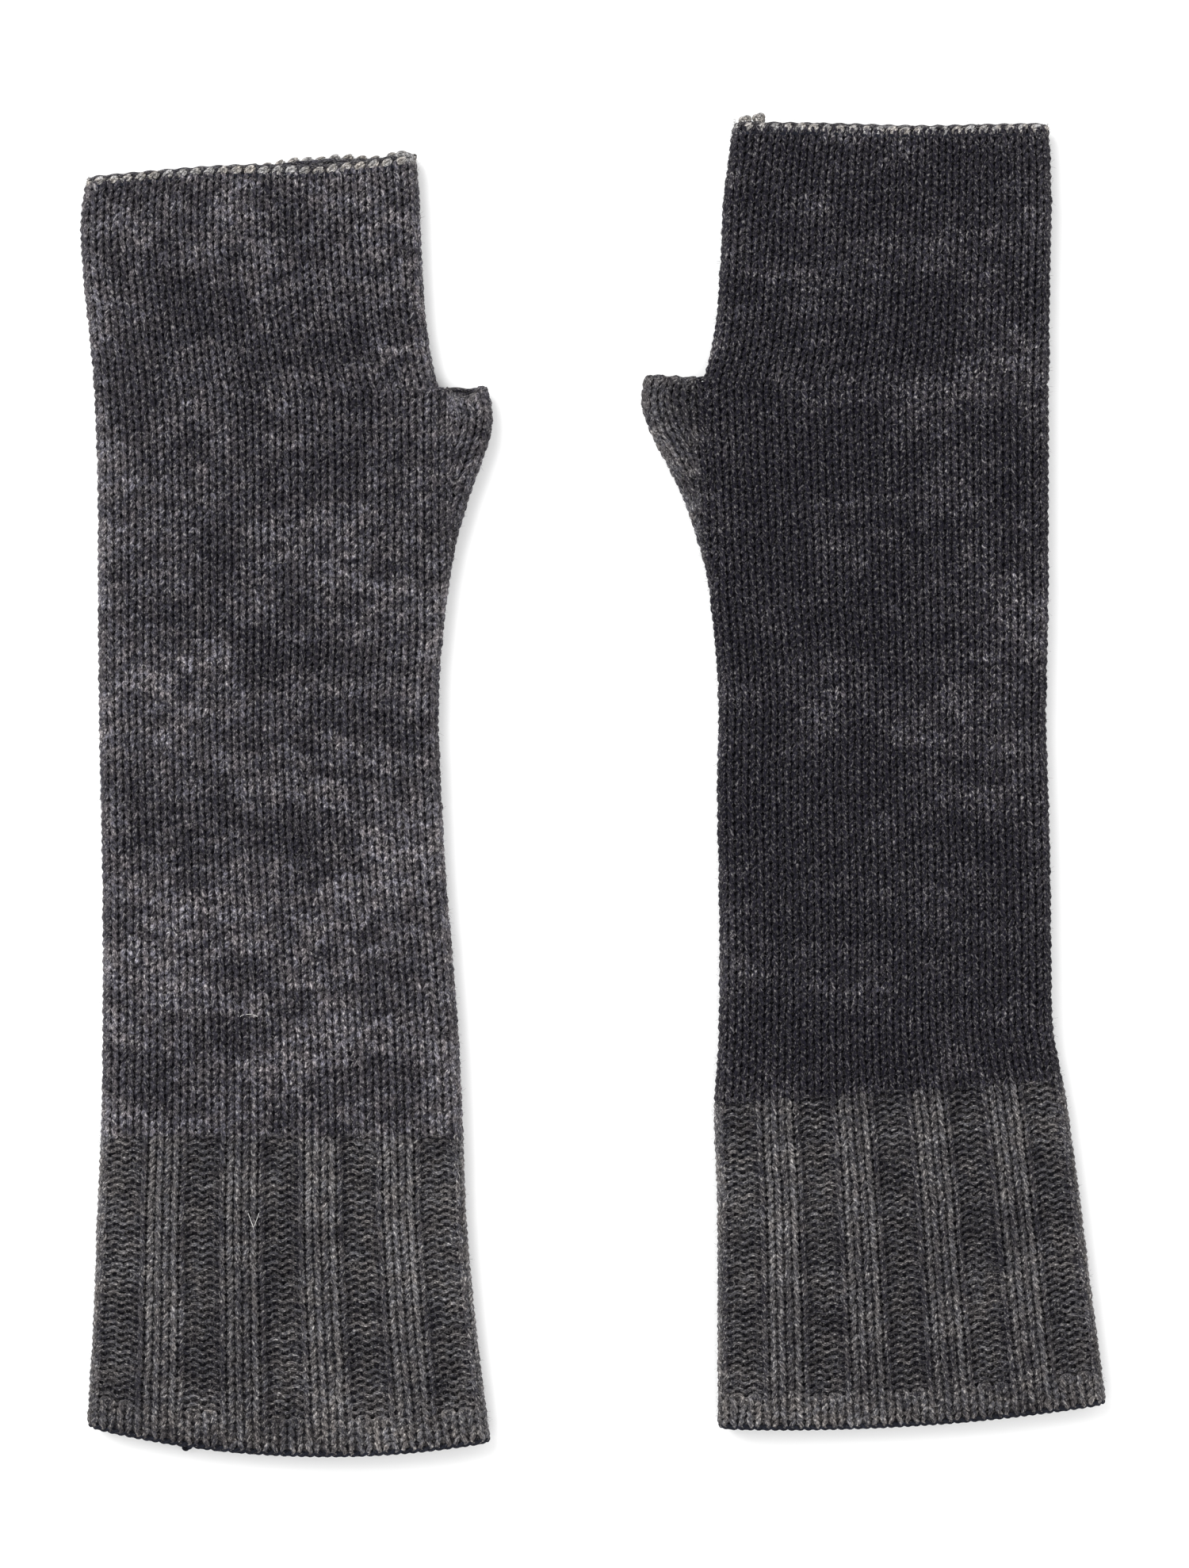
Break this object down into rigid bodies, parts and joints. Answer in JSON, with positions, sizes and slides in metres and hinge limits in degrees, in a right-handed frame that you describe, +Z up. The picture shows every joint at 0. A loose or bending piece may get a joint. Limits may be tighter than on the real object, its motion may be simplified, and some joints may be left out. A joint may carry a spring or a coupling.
{
  "type": "pair of fingerless gloves",
  "caption": "Pair of long knitted wool fingerless gloves lying flat, with ribbed cuffs, thumb gussets and chain-linked finger edges.",
  "frame": {"origin": "middle of the pair's footprint, on the surface that the gloves lie on", "axes": "+X to the right-hand glove, +Y from the cuffs to the fingers, +Z up from the surface"},
  "size_m": [0.2587, 0.3395, 0.011],
  "materials": {
    "left_body_wool": "matte",
    "right_body_wool": "matte",
    "rib_wool": "matte",
    "welt_wool": "matte",
    "thumb_wool": "matte",
    "edge_yarn": "matte",
    "seam_yarn": "matte",
    "yarn_end": "matte"
  },
  "bodies": {
    "left_arm": {"left_arm_tube": "left_body_wool", "left_arm_seam": "seam_yarn"},
    "left_cuff": {"left_rib_cuff": "rib_wool", "left_cuff_welt": "welt_wool", "left_cuff_seam": "seam_yarn", "left_cuff_knot": "yarn_end"},
    "left_hand": {"left_palm_tube": "left_body_wool", "left_finger_tube": "left_body_wool", "left_finger_edge": "edge_yarn", "left_hand_seam": "seam_yarn", "left_finger_knot": "yarn_end"},
    "left_thumb": {"left_thumb_gusset": "thumb_wool", "left_thumb_edge": "edge_yarn"},
    "right_arm": {"right_arm_tube": "right_body_wool", "right_arm_seam": "seam_yarn"},
    "right_cuff": {"right_rib_cuff": "rib_wool", "right_cuff_welt": "welt_wool", "right_cuff_seam": "seam_yarn"},
    "right_hand": {"right_palm_tube": "right_body_wool", "right_finger_tube": "right_body_wool", "right_finger_edge": "edge_yarn", "right_hand_seam": "seam_yarn", "right_finger_knot": "yarn_end"},
    "right_thumb": {"right_thumb_gusset": "thumb_wool", "right_thumb_edge": "edge_yarn"}
  },
  "joints": [
    {"name": "pair_slide", "type": "slide", "parent": "left_arm", "child": "right_arm", "axis": [1, 0, 0], "range_m": [-0.02, 0.15]},
    {"name": "left_cuff_fold", "type": "hinge", "parent": "left_arm", "child": "left_cuff", "pos_m": [-0.0815, -0.087, 0.01115], "axis": [-1, 0, 0], "range_deg": [0, 180]},
    {"name": "left_wrist_fold", "type": "hinge", "parent": "left_arm", "child": "left_hand", "pos_m": [-0.0815, 0.018, 0.01115], "axis": [1, 0, 0], "range_deg": [0, 90]},
    {"name": "left_thumb_fold", "type": "hinge", "parent": "left_hand", "child": "left_thumb", "pos_m": [-0.0449, 0.028, 0.01115], "axis": [-0.0803, -0.9968, 0], "range_deg": [0, 180]},
    {"name": "right_cuff_fold", "type": "hinge", "parent": "right_arm", "child": "right_cuff", "pos_m": [0.0743, -0.076, 0.01115], "axis": [-0.9981, -0.0614, 0], "range_deg": [0, 180]},
    {"name": "right_wrist_fold", "type": "hinge", "parent": "right_arm", "child": "right_hand", "pos_m": [0.073, 0.018, 0.01115], "axis": [1, 0, 0], "range_deg": [0, 90]},
    {"name": "right_thumb_fold", "type": "hinge", "parent": "right_hand", "child": "right_thumb", "pos_m": [0.0378, 0.028, 0.01115], "axis": [-0.1365, 0.9906, 0], "range_deg": [0, 180]}
  ]
}
